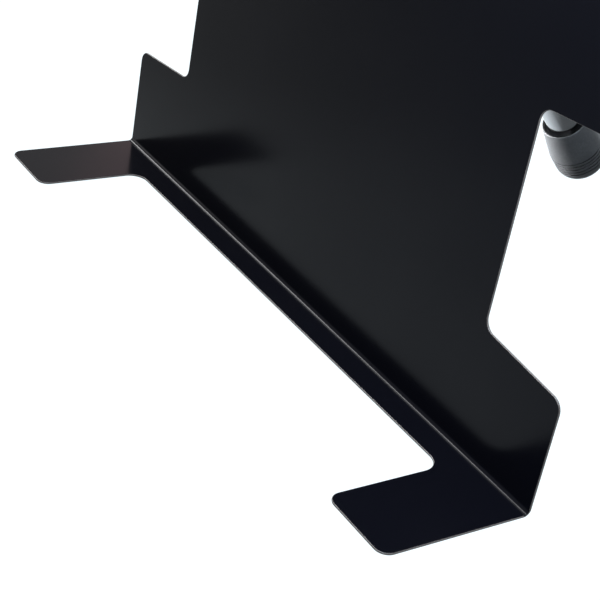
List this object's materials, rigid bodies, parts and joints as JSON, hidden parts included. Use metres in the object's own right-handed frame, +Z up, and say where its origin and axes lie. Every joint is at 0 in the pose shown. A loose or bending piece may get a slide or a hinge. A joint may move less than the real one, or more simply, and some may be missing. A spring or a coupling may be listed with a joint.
{
  "type": "modular synth stand",
  "caption": "Table stand for a modular synthesizer: a bent black steel plate with ledge and forward tabs, held leaning back by a folding rear leg with a ribbed rubber foot.",
  "frame": {"origin": "on the floor, under the middle of the stand's bounding box", "axes": "+X along the bend, to the right seen from the front; +Y to the back; +Z up"},
  "size_m": [0.48, 0.3474, 0.329],
  "materials": {
    "black_coat": "satin black powder coat, very fine texture",
    "cheek_coat": "satin black powder coat",
    "copper": "copper-flashed weld stud",
    "zinc": "bright zinc plate",
    "bare_steel": "turned steel",
    "white_nylon": "natural nylon",
    "black_nylon": "black nylon",
    "head_coat": "die casting, black semi-gloss coat",
    "chrome": "bright nickel-chrome plate",
    "cap_rubber": "matte moulded rubber, dark grey",
    "foot_rubber": "matte black rubber"
  },
  "bodies": {
    "stand": {"back_plate": "black_coat", "hinge_cheek_left": "cheek_coat", "hinge_cheek_right": "cheek_coat", "cheek_studs": "copper", "cheek_washers": "zinc", "cheek_nuts": "zinc", "pivot_bolt": "zinc", "pivot_sleeve": "bare_steel", "pivot_washers": "zinc", "friction_washers": "white_nylon", "pivot_nut": "zinc", "stop_pin": "zinc", "stop_sleeve": "black_nylon", "base_foot_left": "foot_rubber", "base_foot_right": "foot_rubber", "fold_bumper": "foot_rubber"},
    "leg": {"leg_head": "head_coat", "head_pin": "bare_steel", "leg_tube": "chrome", "foot_cap": "cap_rubber", "cap_disc": "bare_steel"}
  },
  "joints": [
    {"name": "leg_fold", "type": "hinge", "parent": "stand", "child": "leg", "pos_m": [0, 0.03786, 0.29265], "axis": [-1, 0, 0], "range_deg": [0, 40]}
  ]
}
